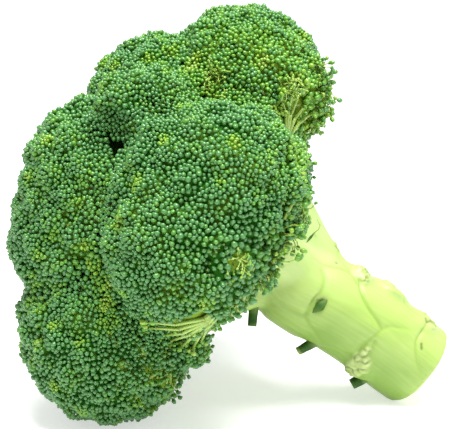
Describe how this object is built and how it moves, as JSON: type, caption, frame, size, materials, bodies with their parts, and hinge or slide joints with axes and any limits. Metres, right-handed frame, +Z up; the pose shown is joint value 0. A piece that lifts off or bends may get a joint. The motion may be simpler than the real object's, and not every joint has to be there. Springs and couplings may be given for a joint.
{
  "type": "broccoli head",
  "caption": "Broccoli head lying on its side: rounded green florets covered in bud clusters, on a pale forking stalk with a cut end.",
  "frame": {"origin": "middle of the bounding box in plan, on the surface the head lies on", "axes": "+X to the right in the picture, towards the cut end of the stalk; +Y away from the camera; +Z up"},
  "size_m": [0.1502, 0.1502, 0.1383],
  "materials": {
    "stalk": "pale green plant flesh with a smooth, slightly waxy skin",
    "florets": "dark green flower buds with a dull waxy bloom",
    "leaf_scraps": "dark green torn leaf stubs"
  },
  "bodies": {
    "root": {"stalk": "stalk", "floret_bottom_side": "florets", "floret_front": "florets", "floret_top": "florets", "floret_shoulder": "florets", "floret_brow": "florets", "floret_crown": "florets", "floret_bottom": "florets", "floret_side": "florets", "floret_rear": "florets", "floret_rear_bottom": "florets", "floret_rear_top": "florets", "leaf_scrap_front": "leaf_scraps", "leaf_scrap_branch": "leaf_scraps", "leaf_scrap_below": "leaf_scraps", "leaf_scrap_end": "leaf_scraps"}
  },
  "joints": []
}
